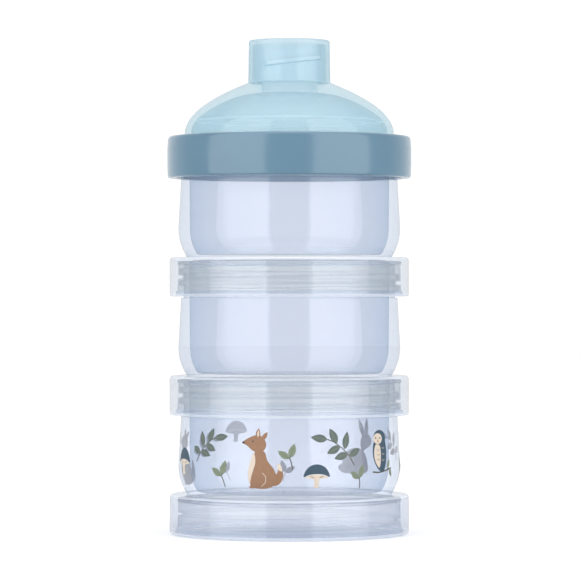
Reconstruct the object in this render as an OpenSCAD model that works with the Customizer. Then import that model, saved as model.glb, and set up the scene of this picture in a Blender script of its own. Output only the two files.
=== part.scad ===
// Stacking formula dispenser: three clear screw-together containers, a screw ring
// that clamps a pouring funnel on the top one, and a cap on the funnel's spout.
// Millimetres. +Z is up, and the origin is on the axis at the foot of the stack.

/* [Stack] */
// Height that each container adds to the stack
pitch = 40.2; // [38:0.1:44]

/* [Container] */
// Widest diameter of the cup
cup_d = 75.4; // [75:0.1:76]
// Diameter of the cup just below its neck
cup_top_d = 73.6; // [73:0.1:74]
// Inside diameter of the cup at its rim
bore_d = 68.2; // [67.8:0.1:68.4]
// Thickness of the cup's floor
floor_t = 1.8; // [1.6:0.1:2.2]
// Radius between the cup's floor and its wall, inside
bore_fillet = 1.5; // [1:0.1:2.5]

/* [Skirt] */
// Outside diameter of the skirt
skirt_d = 81.4; // [81:0.1:83]
// Height of the skirt
skirt_h = 13.3; // [13.1:0.1:13.6]

/* [Stack thread] */
// Diameter of the neck that carries the thread
neck_d = 71.8; // [71.6:0.1:72]
// Height of the neck's rim above the next skirt's foot
neck_h = 10.9; // [10.8:0.01:10.9]
// Rise of the stack thread in one turn
lead = 4; // [3.8:0.1:4.2]

/* [Lid] */
// Outside diameter of the screw ring
ring_d = 83; // [82:0.1:84]
// Height of the screw ring
ring_h = 14.2; // [14.2:0.1:15]
// Outside diameter of the funnel's dome
dome_d = 71.2; // [70.6:0.1:71.2]
// Thickness of the funnel's wall
dome_t = 2.2; // [1.8:0.1:2.4]

/* [Cap] */
// Outside diameter of the cap at its foot
cap_d = 27.9; // [27.8:0.1:29]
// Height of the cap
cap_h = 14.4; // [14.2:0.1:15]
// Bore of the pouring spout
spout_bore_d = 18.8; // [16:0.1:19]
// Rise of the cap's thread in one turn
cap_lead = 10; // [9:0.1:10]

/* [Hidden] */
$fn = 96;

gap = 0.05;              // between faces that rest on each other
front = -90;             // polar angle of the dispenser's front
lid_z = 3 * pitch;       // foot of the screw ring

// Cup and neck
bulge_z = 23;            // height of the cup's widest place
belly_r = 17.5;          // radius of the curve from there down to the skirt
taper_h = pitch - bulge_z - 1.5;  // height over which the cup narrows to its top
taper_a = atan((cup_d - cup_top_d) / 2 / taper_h);
neck_wall_foot = 0.4;    // the neck's shoulder is this far below the next skirt
floor_z = 12.3;          // underside of the cup's floor
floor_top_z = floor_z + floor_t;
seat_z = 11.9;           // underside of the skirt's shelf, where the seal sits
seat_r = 33.6;           // inner edge of that seat
edge = 1.2;              // rounding of outer edges
shoulder_edge = 0.6;     // rounding of the shoulder at the neck's foot
rim_outer_edge = [0.4, 0.6];  // chamfer of the rim, across and down
rim_inner_edge = 0.3;

// Inside of the cup: narrows a little towards the floor, then follows the belly, and
// a fillet about fillet_c that begins at fillet_a joins it to the floor
bore_foot_r = bore_d / 2 - 0.3;
bore_belly_r = 16.5;
bore_belly_c = [bore_foot_r - bore_belly_r, bulge_z];
fillet_z = floor_top_z + bore_fillet;
fillet_a = -asin((bulge_z - fillet_z) / (bore_belly_r - bore_fillet));
fillet_c = [bore_belly_c[0] + (bore_belly_r - bore_fillet) * cos(fillet_a), fillet_z];

// Steps of the skirt's inner wall, from its foot up
lead_in = [38.5, 2];     // radius, and height where it ends
lower_wall = [38.0, 6.3];
upper_wall = [37.7, neck_h - 0.1];
groove_r = 38.0;         // the seal's groove

// Threads: a ridge of the wall's root radius, crest radius, root and crest width
neck_ridge = [neck_d / 2 - 0.4, 37.4, 2.3, 1.4];
skirt_ridge = [lower_wall[0] + 0.3, 36.3, 1.4, 0.7];
neck_turns = 1.9;
skirt_turns = 1.25;
neck_top_a = front - 7;  // the neck's ridge ends here, near the rim
neck_top_z = neck_h - 1.4;
skirt_lag = 63;          // the skirt's ridge ends this many degrees past the neck's
skirt_top_a = neck_top_a + skirt_lag;
skirt_top_z = neck_top_z - lead / 2 + lead * skirt_lag / 360;

// Lid, from the neck's rim up: seal, funnel flange, ring web
lid_rim_z = lid_z + neck_h;
lid_seal_t = 0.9;
lid_seal_r = 37.1;
flange_z = lid_rim_z + 2 * gap + lid_seal_t;
flange_t = 1.1;
flange_r = 37.65;
web_z = flange_z + flange_t + gap;
ring_bore_r = dome_d / 2 + 0.3;
bead = [37.35, flange_z - 0.75, flange_z - 0.15];  // snap bead: crest radius, foot, top

// Funnel: the dome's outer curve runs from its shoulder to the cap's seat, and its
// inner curve from the bore's lower edge to a small ledge above the shoulder
shoulder_z = lid_z + ring_h + 0.6;
cap_z = lid_z + 32.4;    // foot of the cap
cap_seat_r = cap_d / 2 + 0.25;
dome_rise = 8.4;         // height of the outer curve's lower handle
dome_waist = [22.5, cap_z - 3.5];  // its upper handle
bore_edge_z = cap_z - 3.5;
inner_waist = [21, cap_z - 4];  // handles of the inner curve
inner_knee = [29.5, 2];
ledge = [31.7, shoulder_z + 5];    // radius and height
ledge_w = 0.3;
spout_r = 11.1;
spout_wall_edge = 0.4;
spout_top_z = cap_z + cap_h - 2.4;

// Cap
cap_bore_r = 12.45;
cap_draft = 0.2;         // how much narrower the cap is at its top
liner_t = 0.8;
cap_ceiling_z = spout_top_z + liner_t + 2 * gap;
spout_ridge = [spout_r - 0.4, 12.15, 2.0, 1.2];
cap_ridge = [cap_bore_r + 0.4, 11.4, 1.6, 0.8];
cap_top_edge = 0.7;
grip_rib = [cap_d / 2 - 0.6, cap_d / 2 + 0.5];   // root and crest radius
grip_foot_z = cap_z + 6.2;   // the rib's lower edge at the front
grip_h = 3.1;

// Two-start threads of spout and cap, and the cap's grip ribs: where each front ridge
// starts and ends. The cap's ridges run midway between the spout's.
spout_thread_a = [front - 80, front + 5];
spout_thread_z = spout_top_z - 1.8;
cap_thread_a = [front - 20, front + 60];
cap_thread_z = spout_thread_z - cap_lead / 4
    + cap_lead * (cap_thread_a[1] - spout_thread_a[1]) / 360;
grip_a = [front - 43, front + 42];
grip_end_z = grip_foot_z + cap_lead * (grip_a[1] - front) / 360;

clear_blue = [0.86, 0.91, 0.97, 0.45];
pale_blue = [0.66, 0.82, 0.89];
ring_blue = [0.43, 0.58, 0.66];
silicone = [0.93, 0.95, 0.97, 0.8];

// Points of an arc about c, from angle a to angle b
function arc(c, r, a, b, n = 8) =
    [for (i = [0:n]) let (t = a + (b - a) * i / n) c + r * [cos(t), sin(t)]];

// Points of a cubic curve with ends p0 and p3 and handles p1 and p2
function cubic(p0, p1, p2, p3, n = 20) =
    [for (i = [0:n]) let (t = i / n, s = 1 - t)
        s * s * s * p0 + 3 * s * s * t * p1 + 3 * s * t * t * p2 + t * t * t * p3];

// A helical ridge. Its sections are given as radius and height points, from the foot up,
// and it climbs by rise in one turn, from angle a to angle b, with the top end at z_top.
module helix_ridge(section, a, b, z_top, rise, step = 7.5) {
    n = ceil((b - a) / step);
    m = len(section);
    points = [for (i = [0:n], p = section)
        let (t = a + (b - a) * i / n, z = z_top - rise * (b - t) / 360)
        [p[0] * cos(t), p[0] * sin(t), p[1] + z]];
    sides = [for (i = [0:n - 1], k = [0:m - 1])
        let (p = i * m + k, q = i * m + (k + 1) % m)
        each [[p, q, p + m], [q, q + m, p + m]]];
    foot = [for (k = [1:m - 2]) [0, k + 1, k]];
    last = n * m;
    head = [for (k = [1:m - 2]) [last, last + k, last + k + 1]];
    polyhedron(points, concat(sides, foot, head));
}

// A screw ridge of the root radius, crest radius, root width and crest width in shape
module thread(shape, a, b, z_top, rise) {
    section = [[shape[0], -shape[2] / 2], [shape[1], -shape[3] / 2],
               [shape[1], shape[3] / 2], [shape[0], shape[2] / 2]];
    outward = shape[1] > shape[0];
    helix_ridge(outward ? section : [for (i = [3:-1:0]) section[i]], a, b, z_top, rise);
}

// The thread inside a skirt whose foot is at z = 0
module skirt_thread() {
    thread(skirt_ridge, skirt_top_a - 360 * skirt_turns, skirt_top_a, skirt_top_z, lead);
}

// Inner wall of a skirt, from the seal's groove down to the lead-in
function skirt_bore() = [
    [groove_r, seat_z], [groove_r, upper_wall[1]], [upper_wall[0], upper_wall[1] - 0.2],
    [upper_wall[0], lower_wall[1]], [lower_wall[0], lower_wall[1] - 0.3],
    [lower_wall[0], lead_in[1]], [lead_in[0], lead_in[1] - 0.3], [lead_in[0], 0]];

// Half section of a container
function container_section() = let (
    belly = [cup_d / 2 - belly_r, bulge_z],
    rim_z = pitch + neck_h,
    top = pitch - neck_wall_foot)
    concat(
        arc([skirt_d / 2 - edge, edge], edge, -90, 0, 6),
        arc([skirt_d / 2 - edge, skirt_h - edge], edge, 0, 90, 6),
        arc(belly, belly_r, -asin((bulge_z - skirt_h) / belly_r), taper_a, 14),
        arc([cup_top_d / 2 - shoulder_edge, top - shoulder_edge], shoulder_edge, taper_a, 90, 4),
        [[neck_d / 2, top], [neck_d / 2, rim_z - rim_outer_edge[1]],
         [neck_d / 2 - rim_outer_edge[0], rim_z], [bore_d / 2 + rim_inner_edge, rim_z],
         [bore_d / 2, rim_z - rim_inner_edge]],
        arc(bore_belly_c, bore_belly_r, 0, fillet_a, 10),
        arc(fillet_c, bore_fillet, fillet_a, -90, 6),
        [[0, floor_top_z], [0, floor_z], [seat_r - 1, floor_z], [seat_r, seat_z]],
        skirt_bore());

module container(level) {
    color(clear_blue) translate([0, 0, level * pitch]) union() {
        rotate_extrude() polygon(container_section());
        skirt_thread();
        translate([0, 0, pitch])
            thread(neck_ridge, neck_top_a - 360 * neck_turns, neck_top_a, neck_top_z, lead);
    }
}

// The flat washer under a skirt's shelf
module seal(level) {
    color(silicone) translate([0, 0, level * pitch]) rotate_extrude() polygon([
        [bore_d / 2 + 0.1, neck_h + gap], [groove_r - gap, neck_h + gap],
        [groove_r - gap, seat_z - gap], [bore_d / 2 + 0.1, seat_z - gap]]);
}

module lid_ring() {
    r = ring_d / 2;
    wall = [for (p = skirt_bore()) if (p[1] < upper_wall[1] - 0.1) p];
    color(ring_blue) translate([0, 0, lid_z]) union() {
        rotate_extrude() polygon(concat(
            arc([r - edge, edge], edge, -90, 0, 6),
            arc([r - 2, ring_h - 2], 2, 0, 90, 8),
            [[ring_bore_r + 0.3, ring_h], [ring_bore_r, ring_h - 0.3],
             [ring_bore_r, web_z - lid_z], [groove_r, web_z - lid_z],
             [groove_r, bead[2] - lid_z], [bead[0], bead[2] - lid_z - 0.2],
             [bead[0], bead[1] - lid_z + 0.2], [upper_wall[0], bead[1] - lid_z]],
            wall));
        skirt_thread();
    }
}

module lid_seal() {
    color(silicone) translate([0, 0, lid_rim_z + gap]) difference() {
        cylinder(r = lid_seal_r, h = lid_seal_t);
        translate([0, 0, -1]) cylinder(r = bore_d / 2 + 0.1, h = lid_seal_t + 2);
    }
}

module pour_funnel() {
    r = dome_d / 2;
    bore_r = spout_bore_d / 2;
    inner_foot_r = r - dome_t;
    outer = cubic([r, shoulder_z], [r, shoulder_z + dome_rise], dome_waist,
                  [cap_seat_r, cap_z - gap]);
    upper = cubic([bore_r + 0.8, bore_edge_z], inner_waist,
                  [inner_knee[0], ledge[1] + inner_knee[1]], ledge);
    lower = cubic([ledge[0] + ledge_w, ledge[1]], [inner_foot_r - 0.5, ledge[1] - 1.8],
                  [inner_foot_r, shoulder_z + 2], [inner_foot_r, shoulder_z - 0.5], 8);
    color(pale_blue) union() {
        rotate_extrude() polygon(concat(
            [[inner_foot_r, flange_z], [flange_r - 0.2, flange_z], [flange_r, flange_z + 0.2],
             [flange_r, flange_z + flange_t], [r, flange_z + flange_t]],
            outer,
            [[spout_r, cap_z - gap], [spout_r, spout_top_z - spout_wall_edge],
             [spout_r - spout_wall_edge, spout_top_z], [bore_r + spout_wall_edge, spout_top_z],
             [bore_r, spout_top_z - spout_wall_edge], [bore_r, bore_edge_z + 0.8]],
            upper, lower));
        for (turn = [0, 180])
            thread(spout_ridge, spout_thread_a[0] + turn, spout_thread_a[1] + turn,
                   spout_thread_z, cap_lead);
    }
}

module spout_cap() {
    r = cap_d / 2;
    rib = [[grip_rib[0], 0], [grip_rib[1] - 0.1, 0], [grip_rib[1], 0.5], [grip_rib[0], grip_h]];
    ceiling = cap_ceiling_z - cap_z;
    color(pale_blue) union() {
        translate([0, 0, cap_z]) rotate_extrude() polygon(concat(
            [[cap_bore_r + 0.3, 0], [r - 0.3, 0], [r, 0.3]],
            arc([r - cap_draft - cap_top_edge, cap_h - cap_top_edge], cap_top_edge, 0, 90, 6),
            [[0, cap_h], [0, ceiling], [cap_bore_r, ceiling], [cap_bore_r, 0.3]]));
        for (turn = [0, 180]) {
            thread(cap_ridge, cap_thread_a[0] + turn, cap_thread_a[1] + turn,
                   cap_thread_z, cap_lead);
            helix_ridge(rib, grip_a[0] + turn, grip_a[1] + turn, grip_end_z, cap_lead);
        }
    }
}

module cap_liner() {
    color(silicone) translate([0, 0, spout_top_z + gap]) cylinder(r = cap_bore_r - gap, h = liner_t);
}

container(0);  // container_bottom
container(1);  // container_middle
container(2);  // container_top
seal(0);  // seal_bottom
seal(1);  // seal_middle
seal(2);  // seal_top
lid_ring();
lid_seal();
pour_funnel();
spout_cap();
cap_liner();
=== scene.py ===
"""The looks of a stacking formula dispenser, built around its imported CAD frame.

Sizes in this file are millimetres until a mesh is made; Blender's own units are metres.
Angles around the axis are degrees, with the dispenser's front at FRONT.
"""
import math
from collections import namedtuple

import bmesh
import bpy
import numpy as np
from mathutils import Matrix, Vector
from mathutils.geometry import delaunay_2d_cdt


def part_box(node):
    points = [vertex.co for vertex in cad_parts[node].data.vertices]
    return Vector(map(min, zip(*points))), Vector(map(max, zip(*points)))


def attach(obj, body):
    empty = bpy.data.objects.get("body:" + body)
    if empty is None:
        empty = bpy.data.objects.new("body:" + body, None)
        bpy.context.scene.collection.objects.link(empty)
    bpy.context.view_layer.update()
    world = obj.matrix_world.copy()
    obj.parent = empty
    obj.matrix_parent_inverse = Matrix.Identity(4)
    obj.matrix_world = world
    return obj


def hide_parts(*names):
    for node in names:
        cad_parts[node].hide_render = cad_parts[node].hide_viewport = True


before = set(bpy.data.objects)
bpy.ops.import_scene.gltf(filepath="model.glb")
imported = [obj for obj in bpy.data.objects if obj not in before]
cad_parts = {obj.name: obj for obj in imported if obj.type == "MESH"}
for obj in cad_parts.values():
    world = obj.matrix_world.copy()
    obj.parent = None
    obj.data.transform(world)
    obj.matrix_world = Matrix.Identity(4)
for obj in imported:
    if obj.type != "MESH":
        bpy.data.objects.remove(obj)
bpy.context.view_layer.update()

MM = 0.001
FRONT = -90
GAP = 0.05          # air between pieces that rest on each other
SEGMENTS = 240      # faces around a turned piece
CREST_SHARE = 0.8   # share of a ridge's height above which a face belongs to its crest

# ---------------------------------------------------------------- sizes from the frame
def node_box(node):
    """Lowest and highest corner of a CAD node, in millimetres."""
    low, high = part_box(node)
    return low / MM, high / MM


BOTTOM_LOW, BOTTOM_HIGH = node_box("container_bottom")
MIDDLE_LOW = node_box("container_middle")[0]
TOP_LOW = node_box("container_top")[0]
RING_LOW, RING_HIGH = node_box("lid_ring")
FUNNEL_LOW, FUNNEL_HIGH = node_box("pour_funnel")
CAP_LOW, CAP_HIGH = node_box("spout_cap")
LINER_LOW, LINER_HIGH = node_box("cap_liner")

PITCH = MIDDLE_LOW.z - BOTTOM_LOW.z
RIM = BOTTOM_HIGH.z
NECK_H = RIM - PITCH
LID = RING_LOW.z
RING_H = RING_HIGH.z - LID
CAP = CAP_LOW.z
SPOUT_TOP = FUNNEL_HIGH.z

# Container; heights are above its own foot
SKIRT_R = BOTTOM_HIGH.x
SKIRT_H = 13.3
CUP_R = 37.7
CUP_TOP_R = 36.8
CUP_TOP_Z = PITCH - 0.4
BULGE_Z = 23
BELLY_R = 17.5
NECK_R = 35.9
BORE_R = 34.1
BORE_FOOT_R = 33.8
BORE_BELLY_R = 16.5
BORE_FILLET = 1.5
FLOOR_Z = 12.3
FLOOR_TOP = 14.1
SEAT_Z = 11.9
SEAT_R = 33.6
GROOVE_R = 38.0
UPPER_WALL_R = 37.7
LOWER_WALL_R = 38.0
LEAD_IN_R = 38.5
LEAD_IN_Z = 2.0

# Threads of necks and skirts; the skirt's ridge ends SKIRT_LAG degrees past the neck's
LEAD = 4
NECK_CREST_R = 37.4
SKIRT_CREST_R = 36.3
NECK_TOP_A = FRONT - 7
NECK_TOP_Z = NECK_H - 1.4
NECK_TURNS = 1.9
SKIRT_LAG = 63
SKIRT_TOP_A = NECK_TOP_A + SKIRT_LAG
SKIRT_TOP_Z = NECK_TOP_Z - LEAD / 2 + LEAD * SKIRT_LAG / 360
SKIRT_TURNS = 1.25

# Lid
RING_R = RING_HIGH.x
RING_BORE_R = 35.9
FLANGE_Z = FUNNEL_LOW.z
FLANGE_T = 1.1
FLANGE_R = FUNNEL_HIGH.x
DOME_R = 35.6
DOME_T = 2.2
SHOULDER_Z = LID + RING_H + 0.6

# Cap and spout
CAP_R = 13.95
CAP_BORE_R = 12.45
CAP_DRAFT = 0.2
CAP_LEAD = 10
SPOUT_R = 11.1
SPOUT_BORE_R = 9.4
SPOUT_CREST_R = 12.15
CAP_CREST_R = 11.4
RIB_CREST_R = CAP_R + 0.5
RIB_FOOT_Z = CAP + 6.2

# Front ridges of spout and cap: start and end angle, and height of the end. The cap's
# ridges run midway between the spout's.
SPOUT_THREAD_A = (FRONT - 80, FRONT + 5)
SPOUT_THREAD_Z = SPOUT_TOP - 1.8
CAP_THREAD_A = (FRONT - 20, FRONT + 60)
CAP_THREAD_Z = (SPOUT_THREAD_Z - CAP_LEAD / 4
                + CAP_LEAD * (CAP_THREAD_A[1] - SPOUT_THREAD_A[1]) / 360)
RIB_A = (FRONT - 43, FRONT + 42)
RIB_Z = RIB_FOOT_Z + CAP_LEAD * (RIB_A[1] - FRONT) / 360

# A helical ridge: the radius of its crest, its section as (height above its centre line,
# share of full height) points, its start and end angle, the height of its centre line
# at the end, its rise in one turn, the angle over which its start fades in, and the
# band of the wall, as lowest and highest radius and height, that carries it.
Ridge = namedtuple("Ridge", "crest shape start end top lead fade band")

# A stretch of a piece's surface with a material of its own. The band is as above. With
# crests set, only the ridges in the band take the material.
# Zones paint light, shade and highlights onto stretches of one plastic; a zone with crests set
# paints a highlight on ridge crests.
Zone = namedtuple("Zone", "material band crests", defaults=(False,))


# ---------------------------------------------------------------- outlines
def arc(centre, radius, start, end, steps=12):
    """Points of an arc in the section plane; angles are from the outward direction."""
    angles = np.radians(np.linspace(start, end, steps + 1))
    return [(centre[0] + radius * math.cos(a), centre[1] + radius * math.sin(a), 0) for a in angles]


def cubic(p0, p1, p2, p3, steps=40):
    """Points of a cubic curve with ends p0 and p3 and handles p1 and p2."""
    out = []
    for t in np.linspace(0, 1, steps + 1):
        weights = ((1 - t) ** 3, 3 * (1 - t) ** 2 * t, 3 * (1 - t) * t * t, t ** 3)
        r, z = (sum(w * p[k] for w, p in zip(weights, (p0, p1, p2, p3))) for k in (0, 1))
        out.append((r, z, 0))
    return out


def soften(corners, steps=4):
    """An outline of (radius, height) points from corners given with a rounding radius."""
    out = []
    count = len(corners)
    for i, (r, z, rounding) in enumerate(corners):
        here = Vector((r, z))
        if not rounding:
            out.append((r, z))
            continue
        before = Vector(corners[i - 1][:2]) - here
        after = Vector(corners[(i + 1) % count][:2]) - here
        half = before.angle(after) / 2
        cut = min(rounding / math.tan(half), 0.45 * before.length, 0.45 * after.length)
        start = here + before.normalized() * cut
        end = here + after.normalized() * cut
        for k in range(steps + 1):
            t = k / steps
            point = (1 - t) ** 2 * start + 2 * t * (1 - t) * here + t * t * end
            out.append((point.x, point.y))
    return out


def wall(low_r, high_r, low_z, high_z):
    """A band of the section between two radii, with a little play, and two heights."""
    play = 0.1
    return low_r - play, high_r + play, low_z, high_z


def in_band(band, r, z):
    """Whether a point of a section lies in a band of it."""
    low_r, high_r, low_z, high_z = band
    return (r >= low_r) & (r <= high_r) & (z >= low_z) & (z <= high_z)


# ---------------------------------------------------------------- meshes
def ridge_share(ridge, angle, z):
    """How much of a ridge's full height stands at each angle and height."""
    share = np.zeros(np.broadcast(angle, z).shape)
    for turn in range(-4, 5):
        a = angle + 360 * turn
        inside = np.clip(a, ridge.start, ridge.end)
        centre = ridge.top - ridge.lead * (ridge.end - inside) / 360
        above = z - centre
        along = np.radians(a - inside) * ridge.crest
        gap = np.where(above < 0, -1, 1) * np.hypot(above, along)
        heights, parts = zip(*ridge.shape)
        here = np.interp(gap, heights, parts, left=0, right=0)
        here = here * np.clip((inside - ridge.start) / ridge.fade, 0, 1)
        share = np.maximum(share, here)
    return share


def mesh_object(name, verts, faces, materials, material_of=None):
    """A smooth-shaded object with its touching points welded and sharp edges kept sharp."""
    weld = 0.001 * MM
    sharp = math.radians(40)
    mesh = bpy.data.meshes.new(name)
    mesh.from_pydata([tuple(v) for v in verts], [], faces)
    for material in materials:
        mesh.materials.append(material)
    if material_of is not None:
        mesh.polygons.foreach_set("material_index", material_of)
    welded = bmesh.new()
    welded.from_mesh(mesh)
    bmesh.ops.remove_doubles(welded, verts=welded.verts, dist=weld)
    welded.to_mesh(mesh)
    welded.free()
    mesh.shade_smooth()
    mesh.set_sharp_from_angle(angle=sharp)
    mesh.validate()
    obj = bpy.data.objects.new(name, mesh)
    bpy.context.scene.collection.objects.link(obj)
    return obj


def threaded_wall(start, end, ridges, angles):
    """A grid over a straight wall, whose rows climb with its ridges: the radius and height
    of its points, and how far up the ridges they stand."""
    (low_r, low), (high_r, high) = sorted((start, end), key=lambda point: point[1])
    lead = ridges[0].lead
    turns = math.ceil((high - low) / lead) + 2
    climbs = {low - lead, high}
    for ridge in ridges:
        at_zero = ridge.top - lead * ridge.end / 360
        first = math.floor((low - lead - at_zero) / lead)
        for turn in range(first, first + turns + 2):
            climbs.update(at_zero + lead * turn + height for height, _ in ridge.shape)
    climbs = np.array(sorted(z for z in climbs if low - lead <= z <= high))
    height = np.clip(climbs[:, None] + lead * angles[None, :] / 360, low, high)
    root = np.interp(height, (low, high), (low_r, high_r))
    taper = 0.2
    inset = np.clip((height - low) / taper, 0, 1) * np.clip((high - height) / taper, 0, 1)
    radius = root
    raised = np.zeros_like(height)
    for ridge in ridges:
        share = ridge_share(ridge, angles[None, :], height) * inset
        radius = radius + (ridge.crest - root) * share
        raised = np.maximum(raised, share)
    if end[1] < start[1]:
        return radius[::-1], height[::-1], raised[::-1]
    return radius, height, raised


def revolve(name, corners, material, ridges=(), base=0, closed=False, segments=SEGMENTS,
            zones=()):
    """Turns a section about the axis. It runs with the solid on its left, as seen with
    radius to the right and height up; an open one starts and ends on the axis."""
    outline = soften(corners)
    ends = outline[1:] + (outline[:1] if closed else [])
    angles = np.arange(segments + 1) * 360 / segments
    around = np.radians(angles % 360)
    verts, faces, material_of = [], [], []
    for start, end in zip(outline, ends):
        middle = ((start[0] + end[0]) / 2, (start[1] + end[1]) / 2)
        carried = [ridge for ridge in ridges if in_band(ridge.band, *middle)]
        if carried:
            radius, height, raised = threaded_wall(start, end, carried, angles)
        else:
            radius = np.repeat([[start[0]], [end[0]]], segments + 1, axis=1)
            height = np.repeat([[start[1]], [end[1]]], segments + 1, axis=1)
            raised = np.zeros_like(height)
        found = [(k, zone.crests) for k, zone in enumerate(zones, 1)
                 if in_band(zone.band, *middle)]
        plain = next((k for k, crests in found if not crests), 0)
        # Faces high on a ridge take the crest zone, which paints a highlight there.
        crest = next((k for k, crests in found if crests), plain)
        grid = np.stack([radius * np.cos(around), radius * np.sin(around), height + base], axis=-1)
        index = np.arange(radius.size).reshape(radius.shape) + len(verts)
        verts.extend(grid.reshape(-1, 3) * MM)
        for row, (a, b) in enumerate(zip(index[:-1].tolist(), index[1:].tolist())):
            faces += [(a[j], a[j + 1], b[j + 1], b[j]) for j in range(segments)]
            on = (raised[row, :-1] + raised[row + 1, :-1]) / 2 > CREST_SHARE
            material_of += np.where(on, crest, plain).tolist()
    return mesh_object(name, verts, faces, [material] + [zone.material for zone in zones],
                       material_of)


# ---------------------------------------------------------------- material nodes
def srgb(red, green, blue):
    """A linear colour from 0 to 255 display values."""
    out = []
    for value in (red, green, blue):
        c = value / 255
        out.append(c / 12.92 if c <= 0.04045 else ((c + 0.055) / 1.055) ** 2.4)
    return (*out, 1)


class Nodes:
    """A small helper that adds nodes to a material or world and links them."""

    def __init__(self, owner):
        owner.use_nodes = True
        self.tree = owner.node_tree
        self.tree.nodes.clear()

    def add(self, kind, inputs=None, **settings):
        node = self.tree.nodes.new(kind)
        for key, value in settings.items():
            setattr(node, key, value)
        for key, value in (inputs or {}).items():
            self.set(node.inputs[key], value)
        return node

    def set(self, socket, value):
        if isinstance(value, bpy.types.NodeSocket):
            self.tree.links.new(value, socket)
        else:
            socket.default_value = value

    def noise(self, scale, detail=3.0):
        where = self.add("ShaderNodeTexCoord").outputs["Object"]
        out = self.add("ShaderNodeTexNoise", {"Vector": where, "Scale": scale, "Detail": detail})
        return out.outputs["Fac"]

    def spread(self, factor, low, high):
        """A value from low to high as a noise goes from its usual low to its usual high."""
        out = self.add("ShaderNodeMapRange", {"Value": factor, "From Min": 0.3, "From Max": 0.7,
                                              "To Min": low, "To Max": high})
        return out.outputs["Result"]

    def blend(self, factor, first, second):
        """A colour between two; the Mix node's colour sockets are 6 and 7."""
        out = self.add("ShaderNodeMix", data_type="RGBA")
        self.set(out.inputs[0], factor)
        self.set(out.inputs[6], first)
        self.set(out.inputs[7], second)
        return out.outputs[2]

    def bump(self, height, strength, distance):
        out = self.add("ShaderNodeBump", {"Height": height, "Strength": strength,
                                          "Distance": distance})
        return out.outputs["Normal"]

    def math(self, operation, *values):
        inputs = dict(enumerate(values))
        return self.add("ShaderNodeMath", inputs, operation=operation).outputs["Value"]

    def mix(self, factor, first, second):
        inputs = {0: factor, 1: first, 2: second}
        return self.add("ShaderNodeMixShader", inputs).outputs["Shader"]

    def principled(self, **inputs):
        names = {key.replace("_", " "): value for key, value in inputs.items()}
        return self.add("ShaderNodeBsdfPrincipled", names).outputs["BSDF"]

    def surface(self, shader):
        out = self.add("ShaderNodeOutputMaterial")
        self.set(out.inputs["Surface"], shader)


def tinted_plastic(name, tint, edge_tint, haze, haze_share, rough, gloss=(0.045, 0.7), wave=0.04):
    """Clear or tinted moulded plastic. Each surface lets tinted light through, scatters a
    share of it as haze, and reflects more of the studio the more it is seen edge-on.
    Gloss is the reflected share face-on, and how much is added edge-on; wave is how
    strongly the surface's slight unevenness bends its reflections."""
    material = bpy.data.materials.new(name)
    n = Nodes(material)
    normal = n.bump(n.noise(130, 2.0), wave, 0.0002)
    facing = n.add("ShaderNodeLayerWeight", {"Blend": 0.5}).outputs["Facing"]
    edge = n.math("POWER", facing, 1.6)
    colour = n.blend(edge, tint, edge_tint)
    clear = n.add("ShaderNodeBsdfTransparent", {"Color": colour}).outputs["BSDF"]
    deep_haze = [h * e / t for h, e, t in zip(haze, edge_tint, tint)]
    milk = n.blend(edge, haze, deep_haze)
    diffuse = n.add("ShaderNodeBsdfDiffuse", {"Color": milk}).outputs["BSDF"]
    passed = n.add("ShaderNodeBsdfTranslucent", {"Color": milk}).outputs["BSDF"]
    scatter = n.mix(0.5, diffuse, passed)
    cloud = n.spread(n.noise(40), haze_share * 0.9, haze_share * 1.1)
    body = n.mix(cloud, clear, scatter)
    uneven = n.spread(n.noise(90), rough * 0.75, rough * 1.25)
    shine = n.add("ShaderNodeBsdfGlossy", {"Roughness": uneven, "Normal": normal}).outputs["BSDF"]
    steep = n.math("POWER", facing, 5)
    share = n.math("MULTIPLY_ADD", steep, gloss[1], gloss[0])
    n.surface(n.mix(share, body, shine))
    return material


def ring_plastic(name, light, dark):
    """Opaque plastic with the fine grain of an eroded mould."""
    material = bpy.data.materials.new(name)
    n = Nodes(material)
    colour = n.blend(n.spread(n.noise(60), 0, 1), light, dark)
    rough = n.spread(n.noise(300), 0.14, 0.2)
    normal = n.bump(n.noise(2600, 2.0), 0.05, 0.00005)
    n.surface(n.principled(Base_Color=colour, Roughness=rough, IOR=1.5,
                           Specular_IOR_Level=0.75, Normal=normal))
    return material


def ink(name, colour, worn):
    """Matt printing ink with a slightly uneven cover."""
    material = bpy.data.materials.new(name)
    n = Nodes(material)
    mottle = n.blend(n.spread(n.noise(1400, 4.0), 0, 1), colour, worn)
    rough = n.spread(n.noise(700), 0.45, 0.6)
    n.surface(n.principled(Base_Color=mottle, Roughness=rough, IOR=1.45))
    return material


CLEAR = tinted_plastic("clear_container", (0.905, 0.924, 0.962, 1), (0.80, 0.85, 0.92, 1),
                       srgb(226, 231, 243), haze_share=0.05, rough=0.04)
# Painted shade: the same clear plastic, but its inner walls darken more edge-on than the outside's.
INSIDE_PAINTED_SHADE = tinted_plastic("clear_container_inside_painted_shade", (0.905, 0.924, 0.962, 1), (0.74, 0.80, 0.87, 1),
                        srgb(226, 231, 243), haze_share=0.05, rough=0.04, gloss=(0.045, 0.25))
# Painted shade: a flatter, darker copy of the clear plastic for the outside of the skirts and the
# cup floor seen through them.
COLLAR_PAINTED_SHADE = tinted_plastic("clear_container_collar_painted_shade", (0.873, 0.90, 0.938, 1), (0.87, 0.895, 0.925, 1),
                        srgb(224, 229, 237), haze_share=0.05, rough=0.04)
# Painted shade: a still darker copy for the bottom skirt, as the floor shades it.
FOOT_COLLAR_PAINTED_SHADE = tinted_plastic("clear_container_foot_collar_painted_shade", (0.82, 0.845, 0.90, 1),
                             (0.80, 0.83, 0.89, 1), srgb(212, 220, 234), haze_share=0.06,
                             rough=0.04)
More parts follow.
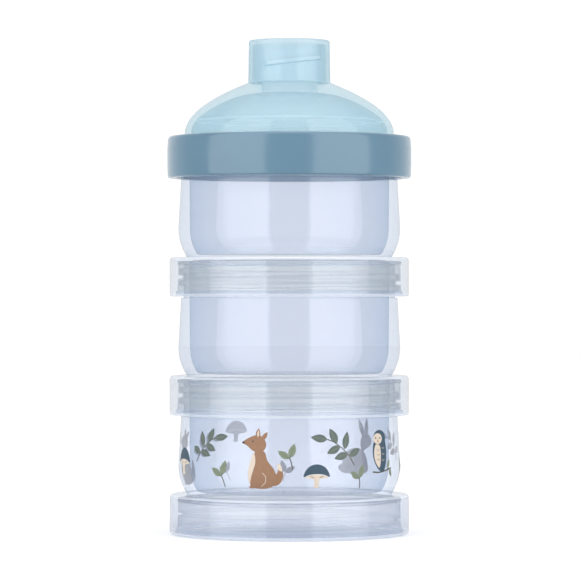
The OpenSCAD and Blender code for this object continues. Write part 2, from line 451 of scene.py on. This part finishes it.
# Painted light: a paler, nearly untinted copy of the clear plastic for the threaded walls and the
# seat.
THREAD_PAINTED_LIGHT = tinted_plastic("clear_container_thread_painted_light", (0.985, 0.987, 0.985, 1), (0.80, 0.825, 0.85, 1),
                        srgb(222, 227, 231), haze_share=0.04, rough=0.04, gloss=(0.03, 0.3),
                        wave=0)
# Painted highlight: a whiter, hazier copy for the crests of the skirts' ridges.
RIDGE_PAINTED_HIGHLIGHT = tinted_plastic("clear_container_ridge_painted_highlight", (0.99, 0.995, 0.995, 1), (0.84, 0.865, 0.89, 1),
                       srgb(244, 247, 249), haze_share=0.16, rough=0.04, gloss=(0.03, 0.3),
                       wave=0)
# Painted light: a paler copy of the clear plastic for the bore of the neck.
NECK_BORE_PAINTED_LIGHT = tinted_plastic("clear_container_neck_bore_painted_light", (0.972, 0.977, 0.985, 1),
                           (0.91, 0.925, 0.945, 1), srgb(222, 227, 231), haze_share=0.04,
                           rough=0.04, gloss=(0.03, 0.3), wave=0)
# Painted highlight: a whiter, hazier copy along the rounded edges of skirt and rim, standing in for
# the glow they refract.
EDGE_PAINTED_HIGHLIGHT = tinted_plastic("clear_container_edge_painted_highlight", (0.97, 0.98, 0.99, 1), (0.90, 0.93, 0.97, 1),
                      srgb(244, 248, 254), haze_share=0.35, rough=0.05)
SEAL = tinted_plastic("clear_seal", (0.97, 0.975, 0.98, 1), (0.88, 0.90, 0.93, 1),
                      srgb(230, 235, 243), haze_share=0.12, rough=0.3)
FUNNEL = tinted_plastic("pale_funnel", (0.90, 0.95, 0.965, 1), (0.80, 0.88, 0.905, 1),
                        srgb(198, 226, 236), haze_share=0.27, rough=0.07, gloss=(0.03, 0.5),
                        wave=0)
# Painted highlight: a paler, hazier band on the dome's inner ledge.
FUNNEL_LEDGE_PAINTED_HIGHLIGHT = tinted_plastic("pale_funnel_ledge_painted_highlight", (0.96, 0.98, 0.985, 1), (0.9, 0.95, 0.97, 1),
                              srgb(222, 239, 246), haze_share=0.4, rough=0.07, gloss=(0.03, 0),
                              wave=0)
# Painted light: a nearly white, milky copy that lightens the top of the spout's bore and the
# landing under the cap.
FUNNEL_PAINTED_LIGHT = tinted_plastic("pale_funnel_painted_light", (0.98, 0.99, 0.99, 1), (0.96, 0.98, 0.985, 1),
                               srgb(253, 255, 255), haze_share=0.85, rough=0.07, gloss=(0.03, 0),
                               wave=0)
CAP_PLASTIC = tinted_plastic("milky_cap", (0.94, 0.97, 0.98, 1), (0.64, 0.74, 0.775, 1),
                             srgb(212, 232, 240), haze_share=0.5, rough=0.08, gloss=(0.045, 0.3),
                             wave=0)
# Painted highlight: a paler copy for the cap's foot and the crests of its grip ribs, as if lit from
# above.
CAP_PAINTED_HIGHLIGHT = tinted_plastic("milky_cap_painted_highlight", (0.95, 0.98, 0.985, 1), (0.86, 0.92, 0.94, 1),
                           srgb(220, 239, 247), haze_share=0.55, rough=0.08, gloss=(0.045, 0),
                           wave=0)
RING = ring_plastic("blue_ring", srgb(87, 118, 137), srgb(84, 114, 133))
# Painted light: a much paler blue for the inside of the ring's skirt, which lies in shade.
RING_INSIDE_PAINTED_LIGHT = ring_plastic("blue_ring_inside_painted_light", srgb(168, 184, 195), srgb(165, 181, 192))


# ---------------------------------------------------------------- containers
SYMMETRIC_NECK = ((-1.15, 0), (-0.85, 1), (0.85, 1), (1.15, 0))
SYMMETRIC_SKIRT = ((-0.7, 0), (-0.4, 1), (0.4, 1), (0.7, 0))

NECK_THREAD = Ridge(NECK_CREST_R, SYMMETRIC_NECK, NECK_TOP_A - 360 * NECK_TURNS, NECK_TOP_A,
                    PITCH + NECK_TOP_Z, LEAD, 20, wall(NECK_R, NECK_R, PITCH, RIM - 0.4))


def skirt_thread():
    """The ridge inside a skirt."""
    return Ridge(SKIRT_CREST_R, SYMMETRIC_SKIRT, SKIRT_TOP_A - 360 * SKIRT_TURNS, SKIRT_TOP_A,
                 SKIRT_TOP_Z, LEAD, 20,
                 wall(UPPER_WALL_R, LOWER_WALL_R, LEAD_IN_Z + 1, NECK_H - 1))


def skirt_bore(top):
    """Inner wall of a skirt, from the given height down to its foot."""
    return [(UPPER_WALL_R, top, 0.1), (LOWER_WALL_R, LEAD_IN_Z, 0.15),
            (LEAD_IN_R, LEAD_IN_Z - 0.3, 0.15), (LEAD_IN_R, 0, 0.35)]


def taper_angle():
    """Angle at which the belly's arc meets the cup's straight upper wall."""
    return math.degrees(math.atan((CUP_R - CUP_TOP_R) / (PITCH - BULGE_Z - 1.5)))


def cup_wall():
    """Outside of the cup, from the skirt's shelf up to the shoulder."""
    foot = -math.degrees(math.asin((BULGE_Z - SKIRT_H) / BELLY_R))
    return arc((CUP_R - BELLY_R, BULGE_Z), BELLY_R, foot, taper_angle(), 24)


def cup_bore():
    """Inside of the cup, from the straight wall down the belly to the floor's fillet."""
    centre = (BORE_FOOT_R - BORE_BELLY_R, BULGE_Z)
    reach = BORE_BELLY_R - BORE_FILLET
    fillet_z = FLOOR_TOP + BORE_FILLET
    foot = -math.asin((BULGE_Z - fillet_z) / reach)
    fillet = (centre[0] + reach * math.cos(foot), fillet_z)
    return [*arc(centre, BORE_BELLY_R, 0, math.degrees(foot), 14),
            *arc(fillet, BORE_FILLET, math.degrees(foot), -90, 10)]


def container_section():
    """Half section of a container, as corners with their rounding."""
    return [(0, FLOOR_Z, 0), (SEAT_R - 1, FLOOR_Z, 0.3), (SEAT_R, SEAT_Z, 0.2),
            (GROOVE_R, SEAT_Z, 0.15), (GROOVE_R, NECK_H - 0.1, 0.1),
            *skirt_bore(NECK_H - 0.3),
            (SKIRT_R, 0, 1.1), (SKIRT_R, SKIRT_H, 1.3),
            *cup_wall(), (CUP_TOP_R, CUP_TOP_Z, 0.6), (NECK_R, CUP_TOP_Z, 0.25),
            (NECK_R, RIM, 0.3), (BORE_R, RIM, 0.4), (BORE_R - 0.15, PITCH, 0),
            *cup_bore(), (0, FLOOR_TOP, 0)]


def container_zones(collar):
    """The skirt, the threaded walls, the rounded edges of skirt and rim, and the inside, each with
    a copy of the plastic that paints light, shade or a highlight there.
    """
    skirt_top = (CUP_R, SKIRT_R + 0.1, SKIRT_H - 0.9, SKIRT_H + 0.01)
    skirt_foot = (LOWER_WALL_R, SKIRT_R + 0.1, -0.1, 0.8)
    rim = (BORE_R - 0.1, NECK_R + 0.1, RIM - 0.5, RIM + 0.1)
    seat = (SEAT_R - 0.1, GROOVE_R + 0.1, NECK_H - 0.4, SEAT_Z + 0.1)
    neck_bore = (BORE_R - 0.3, BORE_R + 0.1, PITCH, RIM)
    floor = (0, BORE_R - 1, FLOOR_Z - 0.1, FLOOR_TOP + 0.5)
    # Painted highlights on the rounded edges and the skirt's ridge crests, painted light on the
    # seat, threaded walls and neck bore, painted shade on the collar, the cup floor and the inside.
    return [Zone(EDGE_PAINTED_HIGHLIGHT, skirt_top), Zone(EDGE_PAINTED_HIGHLIGHT, skirt_foot), Zone(EDGE_PAINTED_HIGHLIGHT, rim), Zone(THREAD_PAINTED_LIGHT, seat),
            Zone(collar, wall(SKIRT_R, SKIRT_R, 0.8, SKIRT_H - 0.9)),
            Zone(RIDGE_PAINTED_HIGHLIGHT, skirt_thread().band, True), Zone(THREAD_PAINTED_LIGHT, skirt_thread().band),
            Zone(THREAD_PAINTED_LIGHT, NECK_THREAD.band),
            Zone(NECK_BORE_PAINTED_LIGHT, neck_bore), Zone(COLLAR_PAINTED_SHADE, floor),
            Zone(INSIDE_PAINTED_SHADE, (0, BORE_R + 0.1, FLOOR_TOP - 0.1, PITCH))]


def container(name, node, body, base, collar=COLLAR_PAINTED_SHADE):
    """One clear container, whose foot is at the height base."""
    obj = revolve(name, container_section(), CLEAR, [NECK_THREAD, skirt_thread()], base,
                  zones=container_zones(collar))
    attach(obj, body)
    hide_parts(node)


def washer(name, node, body, material):
    """A flat ring with rounded edges that stands for a CAD washer."""
    low, high = node_box(node)
    outer = high.x
    inner = BORE_R + 0.1
    edge = 0.25
    section = [(inner, low.z, edge), (outer, low.z, edge), (outer, high.z, edge),
               (inner, high.z, edge)]
    obj = revolve(name, section, material, closed=True, segments=180)
    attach(obj, body)
    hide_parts(node)


# The bottom container's skirt carries the darker painted shade of the floor.
container("clear_cup_bottom", "container_bottom", "base", BOTTOM_LOW.z, FOOT_COLLAR_PAINTED_SHADE)
container("clear_cup_middle", "container_middle", "middle", MIDDLE_LOW.z)
container("clear_cup_top", "container_top", "top", TOP_LOW.z)
washer("silicone_seal_bottom", "seal_bottom", "base", SEAL)
washer("silicone_seal_middle", "seal_middle", "middle_carrier", SEAL)
washer("silicone_seal_top", "seal_top", "top_carrier", SEAL)
washer("silicone_lid_seal", "lid_seal", "funnel", SEAL)


# ---------------------------------------------------------------- lid
def ring_piece():
    """The screw ring; heights are above its own foot."""
    web = FLANGE_Z + FLANGE_T + GAP - LID
    bead_top = FLANGE_Z - 0.15 - LID
    bead_foot = FLANGE_Z - 0.75 - LID
    bead_r = 37.35
    inside = (0, LEAD_IN_R + 0.1, -0.1, bead_foot)
    section = [*skirt_bore(bead_foot), (RING_R - 0.15, 0, 1.0), (RING_R, 5, 6), (RING_R, 10, 6),
               (RING_R - 0.3, RING_H, 1.4), (RING_BORE_R, RING_H, 0.35),
               (RING_BORE_R, web, 0.1), (GROOVE_R, web, 0.1), (GROOVE_R, bead_top, 0.1),
               (bead_r, bead_top - 0.2, 0.1), (bead_r, bead_foot + 0.2, 0.1)]
    # The inside of the ring's skirt takes the paler painted light.
    obj = revolve("screw_ring", section, RING, [skirt_thread()], LID, closed=True,
                  zones=[Zone(RING_INSIDE_PAINTED_LIGHT, inside)])
    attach(obj, "ring")
    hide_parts("lid_ring")


def spout_threads():
    """The two ridges outside the spout."""
    shape = ((-1.0, 0), (-0.6, 1), (0.6, 1), (1.0, 0))
    band = wall(SPOUT_R, SPOUT_R, CAP + 1, SPOUT_TOP - 1)
    start, end = SPOUT_THREAD_A
    return [Ridge(SPOUT_CREST_R, shape, start + turn, end + turn, SPOUT_THREAD_Z, CAP_LEAD, 8, band)
            for turn in (0, 180)]


def funnel_piece():
    """The dome with its flange, its small inner ledge and the spout."""
    inner_foot = DOME_R - DOME_T
    cap_seat = (CAP_R + 0.25, CAP - GAP)
    dome_rise = 8.4
    waist = (22.5, CAP - 3.5)
    bore_edge = CAP - 3.5
    inner_waist = (21, CAP - 4)
    ledge_r = 31.7
    ledge_w = 0.3
    ledge_z = SHOULDER_Z + 5
    ledge_h = 0.6
    knee = (29.5, ledge_z + 2)
    outer = cubic((DOME_R, SHOULDER_Z), (DOME_R, SHOULDER_Z + dome_rise), waist, cap_seat)
    upper = cubic((SPOUT_BORE_R + 0.8, bore_edge), inner_waist, knee, (ledge_r, ledge_z))
    lower = cubic((ledge_r + ledge_w, ledge_z - ledge_h), (inner_foot - 0.5, ledge_z - 1.8),
                  (inner_foot, SHOULDER_Z + 2), (inner_foot, SHOULDER_Z - 0.5), 16)
    section = [(inner_foot, FLANGE_Z, 0.3), (FLANGE_R, FLANGE_Z, 0.25),
               (FLANGE_R, FLANGE_Z + FLANGE_T, 0.2), (DOME_R, FLANGE_Z + FLANGE_T, 0.15),
               *outer, (SPOUT_R, CAP - GAP, 0.15), (SPOUT_R, SPOUT_TOP, 0.4),
               (SPOUT_BORE_R, SPOUT_TOP, 0.4), (SPOUT_BORE_R, bore_edge + 0.8, 0.3),
               *upper, *lower]
    ledge = (ledge_r, ledge_r + ledge_w, ledge_z - ledge_h, ledge_z)
    throat = (SPOUT_BORE_R - 0.1, SPOUT_BORE_R + 0.7, bore_edge, SPOUT_TOP)
    landing = (SPOUT_R, CAP_R + 0.5, CAP - 0.1, CAP + 0.1)
    # The inner ledge takes a painted highlight; the top of the spout's bore and the landing under
    # the cap take painted light.
    obj = revolve("dome_and_spout", section, FUNNEL, spout_threads(), closed=True,
                  zones=[Zone(FUNNEL_LEDGE_PAINTED_HIGHLIGHT, ledge), Zone(FUNNEL_PAINTED_LIGHT, throat),
                         Zone(FUNNEL_PAINTED_LIGHT, landing)])
    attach(obj, "funnel")
    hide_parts("pour_funnel")


CAP_WALL = wall(CAP_R - CAP_DRAFT, CAP_R, CAP + 1, CAP_HIGH.z - 1)


def cap_ridges():
    """The two ridges inside the cap and the two grip ribs outside it."""
    thread_shape = ((-0.8, 0), (-0.4, 1), (0.4, 1), (0.8, 0))
    rib_shape = ((-0.3, 0), (0.1, 1), (1.2, 0.9), (3.0, 0))
    inside = wall(CAP_BORE_R, CAP_BORE_R, CAP + 1, SPOUT_TOP)
    out = []
    for turn in (0, 180):
        out.append(Ridge(CAP_CREST_R, thread_shape, CAP_THREAD_A[0] + turn, CAP_THREAD_A[1] + turn,
                         CAP_THREAD_Z, CAP_LEAD, 6, inside))
        out.append(Ridge(RIB_CREST_R, rib_shape, RIB_A[0] + turn, RIB_A[1] + turn,
                         RIB_Z, CAP_LEAD, 14, CAP_WALL))
    return out


def cap_piece():
    """The screw cap."""
    ceiling = LINER_HIGH.z + GAP
    section = [(0, ceiling, 0), (CAP_BORE_R, ceiling, 0.3), (CAP_BORE_R, CAP, 0.3),
               (CAP_R, CAP, 0.3), (CAP_R - CAP_DRAFT, CAP_HIGH.z, 0.7), (0, CAP_HIGH.z, 0)]
    foot = (CAP_BORE_R - 0.1, CAP_R + 0.1, CAP - 0.1, CAP + 0.35)
    # The cap's foot and its grip ribs' crests take a painted highlight.
    obj = revolve("screw_cap", section, CAP_PLASTIC, cap_ridges(),
                  zones=[Zone(CAP_PAINTED_HIGHLIGHT, foot), Zone(CAP_PAINTED_HIGHLIGHT, CAP_WALL, True)])
    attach(obj, "cap")
    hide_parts("spout_cap")


def liner_piece():
    """The soft disc under the cap's ceiling."""
    section = [(0, LINER_LOW.z, 0), (LINER_HIGH.x, LINER_LOW.z, 0.2),
               (LINER_HIGH.x, LINER_HIGH.z, 0.2), (0, LINER_HIGH.z, 0)]
    obj = revolve("silicone_cap_liner", section, SEAL, segments=120)
    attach(obj, "cap_carrier")
    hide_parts("cap_liner")


ring_piece()
funnel_piece()
cap_piece()
liner_piece()


# ---------------------------------------------------------------- print on the bottom cup
PRINT_R = 37.3   # radius at which the motifs' widths are measured
INK_GAP = 0.01   # between the cup and the lowest layer of ink
INK_T = 0.04
LAYER = 0.03     # step from one layer of ink to the next

LEAF = ink("ink_leaf", srgb(78, 90, 86), srgb(89, 100, 95))
SPRING_LEAF = ink("ink_spring_leaf", srgb(108, 119, 99), srgb(119, 129, 109))
STALK = ink("ink_stalk", srgb(76, 76, 64), srgb(86, 85, 73))
BROWN = ink("ink_brown", srgb(134, 100, 76), srgb(141, 107, 83))
CREAM = ink("ink_cream", srgb(198, 186, 172), srgb(192, 179, 164))
SLATE = ink("ink_slate", srgb(46, 68, 85), srgb(54, 78, 95))
DARK = ink("ink_dark", srgb(39, 40, 46), srgb(47, 49, 54))
BACKING = ink("ink_backing", srgb(236, 219, 199), srgb(231, 214, 194))

WALL = np.array(soften(cup_wall() + [(CUP_TOP_R, CUP_TOP_Z, 0)]))


def turned(points, x, y, turn):
    """Points turned anticlockwise by turn degrees and moved to a place."""
    c = math.cos(math.radians(turn))
    s = math.sin(math.radians(turn))
    return [(x + c * a - s * b, y + s * a + c * b) for a, b in points]


def ellipse(x, y, width, height, turn=0, count=28):
    """Outline of an ellipse about a point, turned anticlockwise by turn degrees."""
    t = np.linspace(0, 2 * math.pi, count, endpoint=False)
    return turned(zip(width / 2 * np.cos(t), height / 2 * np.sin(t)), x, y, turn)


def leaf(x, y, length, width, turn, count=12):
    """Outline of a pointed leaf whose stalk end is at a point."""
    t = np.linspace(0, 1, count)
    half = width / 2 * np.sin(math.pi * t ** 0.85) ** 0.9
    there = [(length * a, h) for a, h in zip(t, half)]
    back = [(length * a, -h) for a, h in zip(t[-2:0:-1], half[-2:0:-1])]
    return turned(there + back, x, y, turn)


def line(points, width):
    """Outline of a thin drawn line through a few points."""
    left, right = [], []
    for i, (x, y) in enumerate(points):
        before = Vector(points[max(i - 1, 0)])
        after = Vector(points[min(i + 1, len(points) - 1)])
        along = (after - before).normalized()
        side = Vector((-along.y, along.x)) * width / 2
        left.append((x + side.x, y + side.y))
        right.append((x - side.x, y - side.y))
    return left + right[::-1]


def blob(points, per_side=6):
    """A smooth closed outline through a few points."""
    out = []
    count = len(points)
    for i in range(count):
        a, b, c, d = (Vector(points[(i + k) % count]) for k in (-1, 0, 1, 2))
        for k in range(per_side):
            t = k / per_side
            point = 0.5 * (2 * b + (c - a) * t + (2 * a - 5 * b + 4 * c - d) * t * t
                           + (3 * b - a - 3 * c + d) * t ** 3)
            out.append((point.x, point.y))
    return out


def on_cup(u, v, azimuth, lift):
    """A point of the print, from its place across and up, on the cup's outside."""
    radius = np.interp(v, WALL[:, 1], WALL[:, 0]) + lift
    angle = math.radians(FRONT + azimuth) + u / PRINT_R
    return radius * math.cos(angle) * MM, radius * math.sin(angle) * MM, v * MM


def filled(outline, spacing=1.1):
    """Triangles that fill an outline closely enough to follow the cup's curve."""
    u = [p[0] for p in outline]
    v = [p[1] for p in outline]
    inner = [Vector((a, b)) for a in np.arange(min(u), max(u), spacing)
             for b in np.arange(min(v), max(v), spacing)]
    points = [Vector(p) for p in outline] + inner
    ring = list(range(len(outline)))
    found = delaunay_2d_cdt(points, [], [ring], 1, 1e-5)
    return found[0], found[2]


def slab(outline, azimuth, height, lift):
    """One printed shape as a thin solid: its points, its back faces and its other faces."""
    points, triangles = filled(outline)
    used = sorted({i for t in triangles for i in t})
    place = {old: new for new, old in enumerate(used)}
    count = len(used)
    verts = [on_cup(points[i].x, points[i].y + height, azimuth, level)
             for level in (lift, lift + INK_T) for i in used]
    back, front, edges = [], [], set()
    for t in triangles:
        a, b, c = (place[i] for i in t)
        area = (points[t[1]] - points[t[0]]).cross(points[t[2]] - points[t[0]])
        if area < 0:
            b, c = c, b
        back.append((c, b, a))
        front.append((count + a, count + b, count + c))
        edges.update(((a, b), (b, c), (c, a)))
    sides = [(a, b, count + b, count + a) for a, b in sorted(edges) if (b, a) not in edges]
    return verts, back, front + sides


def printed(name, azimuth, height, shapes, flip, scale):
    """One motif of the print. Its shapes are (outline, material, layer) in its own frame."""
    materials = [BACKING]
    verts, faces, material_of = [], [], []
    for outline, material, layer in shapes:
        if material not in materials:
            materials.append(material)
        placed = [(flip * x * scale, y * scale) for x, y in outline]
        points, back, rest = slab(placed, azimuth, height, INK_GAP + LAYER * layer)
        start = len(verts)
        verts += points
        faces += [[start + i for i in face] for face in back + rest]
        material_of += [0] * len(back) + [materials.index(material)] * len(rest)
    obj = mesh_object(name, verts, faces, materials, material_of)
    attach(obj, "base")


def big_sprig():
    """A curved stalk with six leaves."""
    stalk = [(6.2, -5.2), (4.6, -2.6), (2.4, -0.4), (-0.4, 1.6), (-2.6, 2.4)]
    leaves = [(-2.4, 2.3, 5.0, 2.3, 172), (0.6, 1.2, 4.8, 2.3, 118), (3.0, -0.6, 5.2, 2.2, 78),
              (1.6, 0.2, 4.6, 2.2, 205), (4.0, -1.9, 4.6, 2.2, 198), (4.6, -2.6, 4.2, 2.1, 30)]
    shapes = [(line(stalk, 0.3), STALK, 0)]
    for x, y, length, width, turn in leaves:
        shapes.append((leaf(x, y, length, width, turn), LEAF, 1))
        reach = Vector((math.cos(math.radians(turn)), math.sin(math.radians(turn)))) * length * 0.8
        shapes.append((line([(x, y), (x + reach.x, y + reach.y)], 0.14), SPRING_LEAF, 3))
    return shapes


def small_sprig():
    """Two young leaves on a short stalk."""
    return [(line([(0.9, -3.6), (0.5, -1.8), (0, -0.4)], 0.28), STALK, 0),
            (leaf(0, -0.8, 3.6, 1.8, 146), SPRING_LEAF, 1),
            (leaf(0.2, -0.6, 4.0, 1.9, 72), SPRING_LEAF, 1),
            (line([(0.0, -0.8), (-2.2, 0.7)], 0.12), LEAF, 3),
            (line([(0.2, -0.6), (1.1, 2.1)], 0.12), LEAF, 3)]


def toadstool():
    """A mushroom with a domed cap."""
    cap = [(-4.4, 3.6), (-3.9, 5.4), (-2.4, 7.1), (0, 7.8), (2.4, 7.1), (3.9, 5.4), (4.4, 3.6),
           (2.6, 4.3), (0, 4.6), (-2.6, 4.3)]
    gills = [(-4.0, 3.5), (-2.4, 4.2), (0, 4.5), (2.4, 4.2), (4.0, 3.5), (2.4, 3.1), (0, 2.9),
             (-2.4, 3.1)]
    stem = [(-0.9, 3.2), (-0.75, 1.4), (-0.95, 0.2), (0, 0), (0.95, 0.2), (0.75, 1.4), (0.9, 3.2)]
    return [(blob(stem), CREAM, 0), (blob(gills), CREAM, 1), (blob(cap), SLATE, 2),
            (line([(-2.2, 3.9), (-0.9, 3.3)], 0.16), DARK, 3),
            (line([(2.2, 3.9), (0.9, 3.3)], 0.16), DARK, 3)]


def sitting_fox():
    """A plain seated animal with pointed ears and a brush, in flat shapes."""
    body = [(-1.6, 13.2), (-2.4, 9.6), (-3.4, 5.2), (-3.6, 1.0), (-1.8, 0.1), (2.0, 0.0),
            (5.0, 1.2), (6.0, 4.0), (5.0, 7.0), (2.8, 9.8), (1.6, 13.0)]
    head = [(-6.4, 16.3), (-3.4, 18.2), (-0.6, 18.9), (1.6, 17.4), (2.2, 14.8), (0.4, 12.8),
            (-2.4, 13.2), (-4.6, 15.0)]
    chest = [(-2.4, 12.8), (-3.5, 9.2), (-4.3, 5.4), (-3.9, 1.6), (-3.0, 4.6), (-1.6, 9.4)]
    tail = [(5.2, 1.0), (7.4, 2.2), (8.3, 5.0), (7.3, 8.2), (6.4, 8.8), (6.3, 6.0), (5.0, 3.4)]
    tip = [(7.9, 6.2), (7.5, 8.2), (6.4, 8.9), (6.3, 7.0)]
    return [(blob(tail), BROWN, 0), (blob(tip), CREAM, 1), (blob(body), BROWN, 1),
            (blob(chest), CREAM, 2), (blob(head), BROWN, 3),
            (leaf(-0.9, 17.8, 3.4, 1.7, 84), BROWN, 2), (leaf(0.9, 17.2, 3.2, 1.6, 58), BROWN, 2),
            (leaf(-0.8, 18.2, 2.4, 0.8, 84), CREAM, 4), (ellipse(-6.2, 16.2, 1.0, 0.8), DARK, 4),
            (ellipse(-2.6, 16.6, 0.55, 0.55), DARK, 4),
            (line([(1.0, 5.6), (2.2, 4.2), (2.0, 2.2), (0.4, 0.8)], 0.2), CREAM, 2),
            (ellipse(-3.1, 0.5, 2.2, 1.0), BROWN, 3)]


def owl():
    """A plain round-headed bird on a twig."""
    twig = line([(-4.2, 0.2), (-1.0, -0.1), (3.0, 0.4), (7.0, 1.2)], 0.5)
    body = [(-2.4, 11.0), (-3.9, 7.6), (-3.3, 3.6), (-0.8, 0.6), (2.0, 0.6), (3.5, 4.0),
            (3.8, 8.0), (2.5, 11.4)]
    chest = [(-2.3, 9.2), (-3.3, 6.6), (-2.8, 3.6), (-0.8, 1.5), (0.2, 4.6), (0.0, 8.6)]
    shapes = [(twig, STALK, 0), (blob(body), SLATE, 1), (blob(chest), CREAM, 2),
              (ellipse(0, 11.4, 6.8, 5.4), SLATE, 1), (ellipse(-1.1, 11.2, 4.8, 3.6), CREAM, 2)]
    for x in (-2.2, 0.0):
        shapes.append((ellipse(x, 11.4, 0.6, 0.6), DARK, 3))
    shapes.append((leaf(-1.1, 11.0, 1.2, 0.6, 270), BROWN, 3))
    for row in range(3):
        shapes.append((line([(-1.8, 7.6 - 1.6 * row), (-1.1, 7.2 - 1.6 * row),
                             (-0.5, 7.6 - 1.6 * row)], 0.16), SLATE, 3))
        shapes.append((line([(0.9, 8.2 - 2.0 * row), (1.7, 7.8 - 2.0 * row),
                             (2.4, 8.2 - 2.0 * row)], 0.16), CREAM, 2))
    shapes.append((leaf(4.2, 0.9, 3.6, 1.6, 66), SPRING_LEAF, 1))
    shapes.append((leaf(5.4, 1.0, 3.6, 1.6, -52), SPRING_LEAF, 1))
    return shapes


def hare():
    """A plain crouching animal with long ears."""
    body = [(-5.2, 0.4), (-5.8, 4.0), (-4.0, 8.0), (0, 9.0), (3.6, 7.2), (5.0, 3.4), (4.6, 0.3)]
    head = [(-5.6, 9.0), (-7.6, 10.2), (-8.2, 12.2), (-6.6, 13.8), (-4.0, 13.4), (-2.8, 11.0),
            (-3.4, 8.0)]
    return [(blob(body), BROWN, 1), (blob(head), BROWN, 2),
            (leaf(-4.6, 12.6, 7.0, 2.0, 72), BROWN, 1), (leaf(-5.6, 12.8, 6.8, 1.9, 96), BROWN, 1),
            (leaf(-5.5, 13.4, 5.0, 0.9, 96), CREAM, 3),
            (ellipse(5.2, 2.0, 2.6, 2.4), CREAM, 0), (ellipse(-6.2, 11.8, 0.6, 0.6), DARK, 3),
            (ellipse(-3.6, 0.8, 3.0, 1.2), BROWN, 2),
            (line([(0.4, 5.8), (2.4, 5.0), (3.0, 2.8), (1.8, 1.0)], 0.2), CREAM, 2)]


# Name, azimuth from the front, height of its origin, motif, 1 or -1 to mirror it, and scale
PRINTS = (
    ("print_fox", -15, 17.0, sitting_fox, 1, 0.94),
    ("print_mushroom_front", 14, 17.3, toadstool, 1, 1.0),
    ("print_mushroom_left", -70, 20.6, toadstool, 1, 1.15),
    ("print_sprig_right", 24, 30.6, big_sprig, 1, 1.15),
    ("print_sprig_left", -45, 31.0, big_sprig, -1, 1.05),
    ("print_leaves_middle", 0, 28.0, small_sprig, 1, 1.25),
    ("print_leaves_left", -37, 22.0, small_sprig, 1, 1.3),
    ("print_leaves_right", 38, 21.0, small_sprig, 1, 1.2),
    ("print_owl", 54, 21.8, owl, 1, 1.0),
    ("print_leaves_edge", 84, 22.4, small_sprig, -1, 1.15),
    ("print_hare", 143, 18.6, hare, 1, 1.0),
    ("print_sprig_back", 112, 29.6, big_sprig, -1, 1.0),
    ("print_mushroom_back", 210, 29.6, toadstool, 1, 0.95),
    ("print_leaves_back", 182, 19.4, small_sprig, 1, 1.1),
    ("print_sprig_back_left", 229, 28.4, big_sprig, 1, 1.0),
    ("print_fox_back", 252, 15.8, sitting_fox, -1, 0.92),
    ("print_leaves_back_left", 216, 19.8, small_sprig, -1, 1.0),
    ("print_leaves_far_left", 266, 31.6, small_sprig, 1, 1.0),
)
for name, azimuth, height, motif, flip, scale in PRINTS:
    printed(name, azimuth, height, motif(), flip, scale)


# ---------------------------------------------------------------- studio
def floor():
    """A matt white floor, just under the dispenser, that glossy surfaces don't mirror."""
    half = 4.0
    z = -0.0003
    corners = [(-half, -half, z), (half, -half, z), (half, half, z), (-half, half, z)]
    material = bpy.data.materials.new("studio_floor")
    n = Nodes(material)
    colour = n.blend(n.spread(n.noise(3), 0, 1), (0.93, 0.93, 0.935, 1), (0.95, 0.95, 0.955, 1))
    n.surface(n.add("ShaderNodeBsdfDiffuse", {"Color": colour}).outputs["BSDF"])
    obj = mesh_object("studio_floor", corners, [(0, 1, 2, 3)], [material])
    obj.visible_glossy = False


def softbox(name, azimuth, distance, width, height, lift, power):
    """A tall soft light that faces the dispenser; azimuth is from the camera's side."""
    lamp = bpy.data.lights.new(name, "AREA")
    lamp.shape = "RECTANGLE"
    lamp.size = width
    lamp.size_y = height
    lamp.energy = power
    obj = bpy.data.objects.new(name, lamp)
    bpy.context.scene.collection.objects.link(obj)
    a = math.radians(azimuth)
    obj.location = (distance * math.sin(a), -distance * math.cos(a), lift)
    aim = Vector((0, 0, lift)) - obj.location
    obj.rotation_euler = aim.to_track_quat("-Z", "Y").to_euler()


def studio_world():
    """White, but glossy surfaces mirror it dark in front, and bright behind and overhead."""
    world = bpy.data.worlds.new("studio")
    bpy.context.scene.world = world
    n = Nodes(world)
    plain = 1.08
    way = n.add("ShaderNodeTexCoord").outputs["Generated"]
    parts = n.add("ShaderNodeSeparateXYZ", {"Vector": way})
    behind = n.add("ShaderNodeMapRange", {"Value": parts.outputs["Y"], "From Min": 0.3,
                                          "From Max": 0.85, "To Min": 0.35, "To Max": 1.0})
    above = n.add("ShaderNodeMapRange", {"Value": parts.outputs["Z"], "From Min": 0.7,
                                         "From Max": 0.9, "To Min": 0.0, "To Max": 1.2})
    reflected = n.math("ADD", behind.outputs["Result"], above.outputs["Result"])
    path = n.add("ShaderNodeLightPath")
    strength = n.add("ShaderNodeMix", data_type="FLOAT")
    n.set(strength.inputs[0], path.outputs["Is Glossy Ray"])
    n.set(strength.inputs[2], plain)
    n.set(strength.inputs[3], reflected)
    sky = n.add("ShaderNodeBackground", {"Color": (1, 1, 1, 1), "Strength": strength.outputs[0]})
    out = n.add("ShaderNodeOutputWorld")
    n.set(out.inputs["Surface"], sky.outputs["Background"])


def camera():
    """A long lens level with the middle of the dispenser."""
    data = bpy.data.cameras.new("camera")
    distance = 1.2
    frame_width = 0.1973
    aside = 0.00024
    height = 0.0826
    data.lens = data.sensor_width * distance / frame_width
    data.clip_end = 20
    obj = bpy.data.objects.new("camera", data)
    bpy.context.scene.collection.objects.link(obj)
    obj.location = (aside, -distance, height)
    obj.rotation_euler = (math.radians(90), 0, 0)
    bpy.context.scene.camera = obj


floor()
for name, azimuth in (("softbox_left", -51), ("softbox_right", 51)):
    softbox(name, azimuth, distance=0.9, width=1.0, height=2.4, lift=0.1, power=11)
studio_world()
camera()
bpy.context.scene.view_settings.view_transform = "Standard"
bpy.context.scene.cycles.transparent_max_bounces = 40
